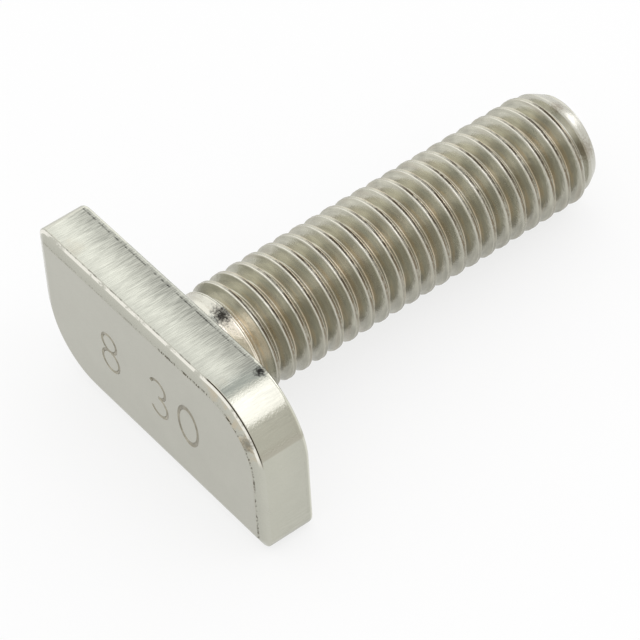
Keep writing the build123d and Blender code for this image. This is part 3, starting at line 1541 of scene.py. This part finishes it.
@dataclass
class Studio:
    """Pale table, two soft lamps and the camera where the photograph was taken from."""

    table_radius: float = 0.12
    table_segments: int = 96
    table_middle: float = 0.01
    table_color: Color = rgb(0.85, 0.85, 0.85)
    table_glow: float = 0.75
    camera_at: Triple = (0.119108, -0.068634, 0.157209)
    camera_aim: Triple = (0.002663, 0.007626, 0.0)
    camera_roll: float = -7.407
    lens: float = 190.565
    sensor: float = 36.0
    below: Ramp = (-0.15, -0.05, 1.0, 0.0)
    wall_from: float = 0.3
    wall_full: float = 0.7
    wall_color: Color = rgb(1.0, 0.985, 0.94)
    wall_light: float = 0.84
    window_toward: Triple = (-0.6, 0.4, 0.69)
    window_from: float = 0.6
    window_full: float = 0.9
    window_light: float = 0.4
    gap_toward: Triple = (-0.2, 0.42, 0.885)
    gap_from: float = 0.975
    gap_full: float = 0.995
    gap_color: Color = rgb(0.9, 0.96, 1.0)
    gap_light: float = 0.56
    lamp_aim: Triple = (0.0, 0.012, 0.0)
    lamp_at: Triple = (0.183, 0.183, 0.353)
    lamp_size: float = 0.25
    lamp_watts: float = 0.23
    lamp_color: Triple = (0.93, 0.92, 1.0)
    back_lamp_at: Triple = (-0.045, 0.45, 0.075)
    back_lamp_size: float = 0.12
    back_lamp_watts: float = 0.09

    def table(self) -> bpy.types.Object:
        """Lays the pale table under the bolt's lowest point.

        Returns:
            The table.
        """
        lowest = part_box(NODE)[0].z
        shape = bmesh.new()
        bmesh.ops.create_circle(
            shape,
            cap_ends=True,
            radius=self.table_radius,
            segments=self.table_segments,
            matrix=Matrix.Translation((0, self.table_middle, lowest)),
        )
        table = finished_object("table", shape)
        table.data.materials.append(self.table_material())
        return table

    def table_material(self) -> bpy.types.Material:
        """Builds the table's finish, which glows a little where the camera and the metal see it.

        Returns:
            The material.
        """
        material = bpy.data.materials.new("pale_table")
        material.use_nodes = True
        material.node_tree.nodes.clear()
        nodes = NodeTree(material.node_tree)
        paths = nodes.add("ShaderNodeLightPath").outputs
        seen = nodes.math("MAXIMUM", paths["Is Glossy Ray"], paths["Is Transmission Ray"])
        seen = nodes.math("MAXIMUM", paths["Is Camera Ray"], seen)
        diffuse = nodes.add("ShaderNodeBsdfDiffuse")
        diffuse.inputs["Color"].default_value = self.table_color
        glow = nodes.add("ShaderNodeEmission")
        glow.inputs["Color"].default_value = WHITE
        glow.inputs["Strength"].default_value = 1.0
        both = nodes.add("ShaderNodeMixShader")
        nodes.feed(both.inputs[0], nodes.product(seen, self.table_glow))
        nodes.feed(both.inputs[1], diffuse.outputs[0])
        nodes.feed(both.inputs[2], glow.outputs[0])
        out = nodes.add("ShaderNodeOutputMaterial")
        nodes.feed(out.inputs["Surface"], both.outputs[0])
        return material

    def room(self) -> None:
        """Lights the room: white for the camera; the metal sees a window, a wall and a dim gap."""
        world = bpy.data.worlds.new("room")
        bpy.context.scene.world = world
        world.use_nodes = True
        world.node_tree.nodes.clear()
        nodes = NodeTree(world.node_tree)
        paths = nodes.add("ShaderNodeLightPath").outputs
        seen = nodes.math("MAXIMUM", paths["Is Camera Ray"], paths["Is Transmission Ray"])
        toward = nodes.add("ShaderNodeTexCoord").outputs["Generated"]
        parts = nodes.add("ShaderNodeSeparateXYZ")
        nodes.feed(parts.inputs[0], toward)
        below = nodes.ramp(parts.outputs["Z"], *self.below)
        on_wall = (parts.outputs["X"], self.wall_from, self.wall_full)
        in_window = (
            nodes.toward(toward, Vector(self.window_toward).normalized()),
            self.window_from,
            self.window_full,
        )
        in_gap = (
            nodes.toward(toward, Vector(self.gap_toward).normalized()),
            self.gap_from,
            self.gap_full,
        )
        around = nodes.math("MAXIMUM", nodes.ramp(*on_wall, 1.0, self.wall_light), below)
        around = nodes.math("ADD", around, nodes.ramp(*in_window, 0.0, self.window_light))
        strength = nodes.product(around, nodes.ramp(*in_gap, 1.0, self.gap_light))
        unseen = nodes.math("SUBTRACT", 1.0, seen)
        unseen_above = nodes.math("SUBTRACT", 1.0, nodes.math("MAXIMUM", below, seen))
        tone = nodes.paint(
            WHITE,
            (nodes.product(nodes.ramp(*on_wall), unseen_above), self.wall_color),
            (nodes.product(nodes.ramp(*in_gap), unseen), self.gap_color),
        )
        light = nodes.add("ShaderNodeBackground")
        nodes.feed(light.inputs["Color"], tone)
        nodes.feed(light.inputs["Strength"], nodes.math("MAXIMUM", strength, seen))
        out = nodes.add("ShaderNodeOutputWorld")
        nodes.feed(out.inputs["Surface"], light.outputs[0])

    def lamp(self, name: str, place: Triple, size: float, watts: float) -> None:
        """Hangs a square soft lamp that faces the bolt.

        Args:
            name: Name of the lamp.
            place: Where it hangs, in metres.
            size: Length of its side, in metres.
            watts: Its power.
        """
        data = bpy.data.lights.new(name, "AREA")
        data.shape = "SQUARE"
        data.size = size
        data.energy = watts
        data.color = self.lamp_color
        lamp = bpy.data.objects.new(name, data)
        bpy.context.scene.collection.objects.link(lamp)
        lamp.location = place
        aim = Vector(self.lamp_aim) - Vector(place)
        lamp.rotation_euler = aim.to_track_quat("-Z", "Y").to_euler()

    def camera(self) -> None:
        """Sets up the camera at the photograph's viewing angle."""
        data = bpy.data.cameras.new("camera")
        data.sensor_width = self.sensor
        data.lens = self.lens
        data.clip_start = 0.01
        data.clip_end = 10.0
        camera = bpy.data.objects.new("camera", data)
        bpy.context.scene.collection.objects.link(camera)
        aim = Vector(self.camera_aim) - Vector(self.camera_at)
        level = aim.to_track_quat("-Z", "Y").to_matrix().to_4x4()
        roll = Matrix.Rotation(math.radians(self.camera_roll), 4, "Z")
        camera.matrix_world = Matrix.Translation(self.camera_at) @ level @ roll
        bpy.context.scene.camera = camera

    def build(self) -> None:
        """Sets up table, room, lamps and camera."""
        self.table()
        self.room()
        self.lamp("softbox", self.lamp_at, self.lamp_size, self.lamp_watts)
        self.lamp("back_lamp", self.back_lamp_at, self.back_lamp_size, self.back_lamp_watts)
        self.camera()
        bpy.context.scene.view_settings.view_transform = "Standard"
        LOG.info("studio ready")


def finishes(groups: dict[str, bpy.types.NodeTree]) -> list[bpy.types.Material]:
    """Builds the head's finishes.

    Args:
        groups: The shared node groups, by name.

    Returns:
        One material for each finish, in the order of Finish.
    """
    return [
        SteelFinish("satin_outer_face", rgb(0.477, 0.472, 0.413), 0.3, groups, cloud_depth=0.05).build(),
        StreakedFinish("streaked_long_side", rgb(0.535, 0.54, 0.475), 0.26, groups).build(),
        FormedBevel("formed_bevel", rgb(0.515, 0.512, 0.445), 0.26, groups).build(),
        StreakedFinish(
            "formed_ends",
            rgb(0.515, 0.512, 0.44),
            0.14,
            groups,
            cloud_depth=0.05,
            streak_width=0.11,
            streak_length=1.1,
            streak_depth=0.45,
            edge_shadow=0.05,
            rim_shade=1.0,
            left_shade=1.0,
            right_shade=1.0,
            corner_shade=0.72,
            relief=0.005,
            grain_relief=0.006,
            crease_at=-2.45,
            stain_share=0.0,
            scuff=Scuff((7.4, -5.5, -0.45), 0.62),
        ).build(),
        SteelFinish("bearing_face", rgb(0.48, 0.475, 0.41), 0.3, groups, cloud_depth=0.08).build(),
        # Painted shade: the struck figures are coloured darker than the face to stand for the shade in
        # their grooves.
        SteelFinish(
            "struck_figures_painted_shade",
            rgb(0.33, 0.31, 0.25),
            0.3,
            groups,
            cloud_size=0.5,
            cloud_depth=0.6,
        ).build(),
    ]


def main() -> None:
    """Builds the bolt and its studio."""
    logging.basicConfig(level=logging.INFO, format="%(message)s")
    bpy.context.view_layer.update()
    shank = Shank()
    place = upright_place_group(shank.pitch, shank.crest_height_at_start)
    groups = {"place": place, "mottle": mottle_group(), "smudge": smudge_group()}
    pose = lying_pose()
    Head().build(pose, StruckNumber(), finishes(groups))
    rolled = RolledFinish("rolled_thread", rgb(0.455, 0.445, 0.375), 0.26, groups)
    shank.build(pose, rolled.build())
    Studio().build()


if __name__ == "__main__":
    main()
